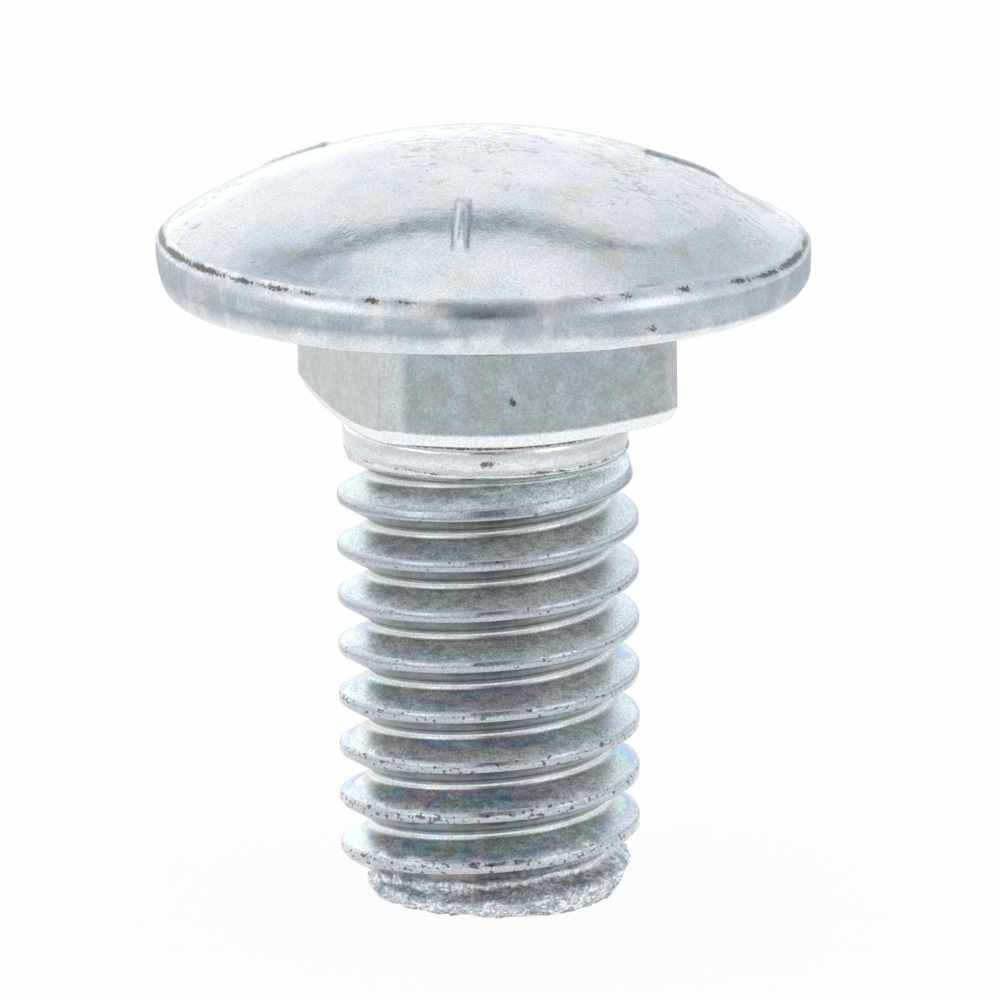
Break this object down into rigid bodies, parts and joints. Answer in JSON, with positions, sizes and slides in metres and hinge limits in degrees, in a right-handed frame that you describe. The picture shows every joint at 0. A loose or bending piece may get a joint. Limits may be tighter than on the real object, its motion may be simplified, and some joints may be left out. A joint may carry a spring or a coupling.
{
  "type": "carriage bolt",
  "caption": "Round head bolt with a square neck and a coarse rolled thread, for clamping timber or sheet with a nut and washer on its plain side.",
  "frame": {"origin": "centre of the head's flat bearing face", "axes": "+Z along the bolt's axis towards the crown, with the shank along -Z"},
  "size_m": [0.02, 0.02, 0.0238],
  "materials": {
    "zinc_plate": "bright zinc plating, clear passivated, on forged and rolled steel"
  },
  "bodies": {
    "root": {"carriage_bolt": "zinc_plate"}
  },
  "joints": []
}
